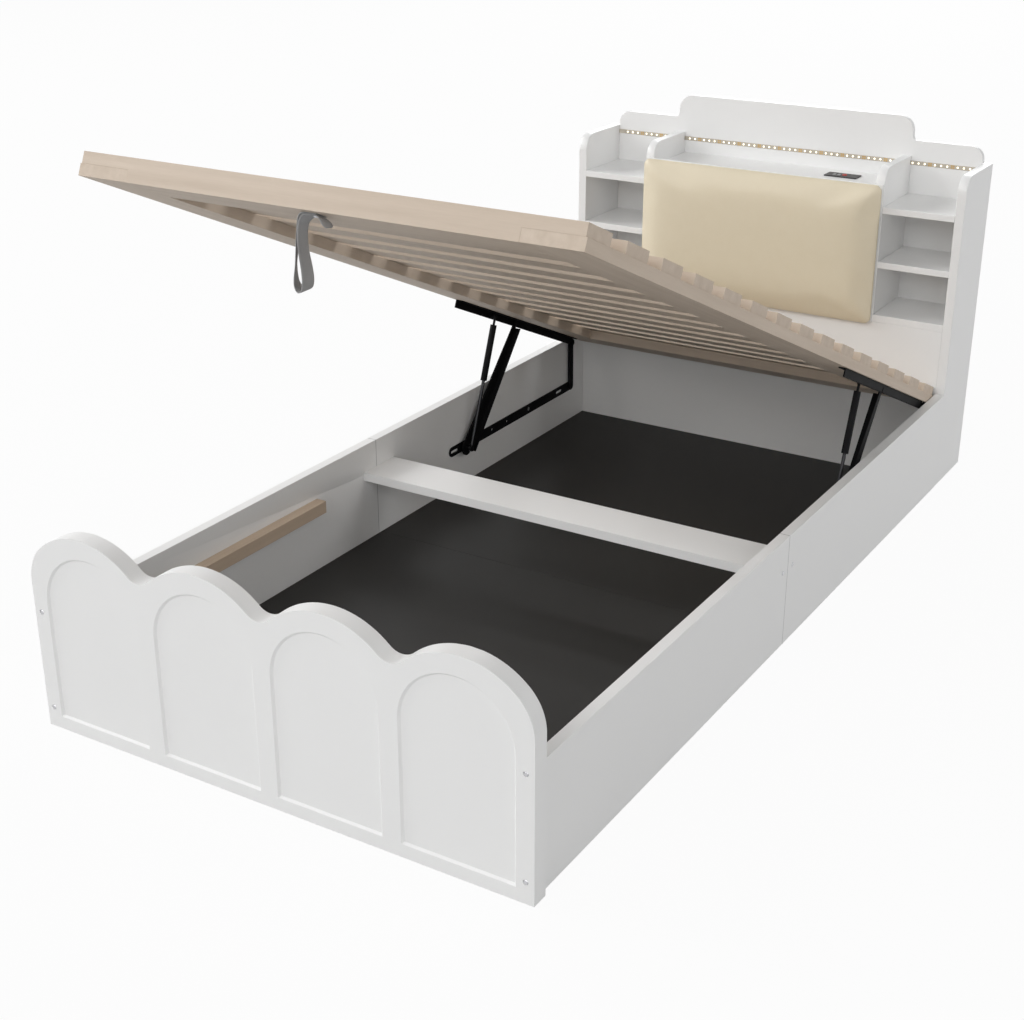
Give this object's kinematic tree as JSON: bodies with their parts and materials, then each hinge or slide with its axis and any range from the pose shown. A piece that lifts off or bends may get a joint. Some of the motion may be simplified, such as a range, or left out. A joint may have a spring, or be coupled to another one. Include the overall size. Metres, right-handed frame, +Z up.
{
  "type": "ottoman bed",
  "caption": "White ottoman bed with an arched footboard, shelf headboard with padded panel and light strip, and a slatted platform that lifts on gas springs.",
  "frame": {"origin": "on the floor, in the middle of the bed's width and length (with the platform raised)", "axes": "+X to the right seen from the foot, +Y from the footboard towards the headboard, +Z up"},
  "size_m": [1.06, 2.187, 1.0428],
  "materials": {
    "white_board": "white satin lacquer",
    "charcoal_board": "charcoal matt laminate",
    "tan_wood": "tan unfinished strip",
    "beige_wood": "pale beige satin",
    "cream_leather": "smooth cream synthetic leather",
    "lamp_strip": "pale flexible strip with warm lamps",
    "black_plastic": "black matt",
    "port_metal": "grey satin",
    "red_plastic": "red gloss",
    "black_steel": "black satin powder coat",
    "rod_steel": "dark polished rod",
    "zinc": "bright zinc",
    "grey_webbing": "grey woven webbing"
  },
  "bodies": {
    "bed_frame": {"footboard": "white_board", "side_panel_front_left": "white_board", "side_panel_front_right": "white_board", "side_panel_rear_left": "white_board", "side_panel_rear_right": "white_board", "cross_beam": "white_board", "floor_board_front": "charcoal_board", "floor_board_rear": "charcoal_board", "ledger_left": "tan_wood", "ledger_right": "tan_wood", "head_wall": "white_board", "headboard_side_left": "white_board", "headboard_side_right": "white_board", "partition_left": "white_board", "partition_right": "white_board", "back_panel": "white_board", "upper_shelf_left": "white_board", "upper_shelf_right": "white_board", "middle_shelf_left": "white_board", "middle_shelf_right": "white_board", "bottom_shelf": "white_board", "centre_shelf": "white_board", "cushion": "cream_leather", "cushion_board": "white_board", "light_strip": "lamp_strip", "power_unit": "black_plastic", "charging_port_left": "port_metal", "charging_port_right": "port_metal", "base_rail_left": "black_steel", "base_rail_right": "black_steel", "base_rail_screws": "zinc", "footboard_screws": "zinc", "beam_screws": "zinc"},
    "platform": {"platform_rail_left": "beige_wood", "platform_rail_right": "beige_wood", "foot_rail": "beige_wood", "head_rail": "beige_wood", "slats": "beige_wood", "slat_screws": "zinc", "lift_bracket_left": "black_steel", "lift_bracket_right": "black_steel", "arm_pins": "black_steel", "link_pins": "black_steel", "spring_studs": "black_steel", "pull_strap": "grey_webbing", "strap_screw": "zinc"},
    "rear_links": {"rear_link_left": "black_steel", "rear_link_right": "black_steel", "link_rivets": "black_steel"},
    "lift_arms": {"lift_arm_left": "black_steel", "lift_arm_right": "black_steel", "rod_pins": "black_steel"},
    "gas_rods": {"gas_rod_left": "rod_steel", "gas_rod_right": "rod_steel"},
    "gas_cylinders": {"gas_cylinder_left": "black_steel", "gas_cylinder_right": "black_steel"},
    "button": {"power_button": "red_plastic"}
  },
  "joints": [
    {"name": "platform_lift", "type": "hinge", "parent": "bed_frame", "child": "platform", "pos_m": [0, 0.98582, 0.24432], "axis": [1, 0, 0], "range_deg": [0, 23.64], "stiffness_Nm_per_rad": 90, "springref_deg": -171.89},
    {"name": "link_fold", "type": "hinge", "parent": "platform", "child": "rear_links", "pos_m": [0, 0.81612, 0.23475], "axis": [1, 0, 0], "range_deg": [-91, 0]},
    {"name": "arm_fold", "type": "hinge", "parent": "platform", "child": "lift_arms", "pos_m": [0, 0.51082, 0.36947], "axis": [1, 0, 0], "range_deg": [-64, 0]},
    {"name": "rod_swing", "type": "hinge", "parent": "lift_arms", "child": "gas_rods", "pos_m": [0, 0.2789, 0.1085], "axis": [1, 0, 0], "range_deg": [-17, 0]},
    {"name": "spring_stroke", "type": "slide", "parent": "gas_rods", "child": "gas_cylinders", "axis": [0, 0.3487, 0.9372], "range_m": [-0.108, 0]},
    {"name": "button_press", "type": "slide", "parent": "bed_frame", "child": "button", "axis": [0, 0, -1], "range_m": [0, 0.0015], "stiffness_N_per_m": 600, "springref_m": -0.0005}
  ],
  "couplings": [
    {"joint": "link_fold", "follows": "platform_lift", "ratio": -3.8162},
    {"joint": "arm_fold", "follows": "platform_lift", "ratio": -2.6804},
    {"joint": "rod_swing", "follows": "platform_lift", "ratio": -0.70276},
    {"joint": "spring_stroke", "follows": "platform_lift", "m_per_rad": -0.25921}
  ]
}
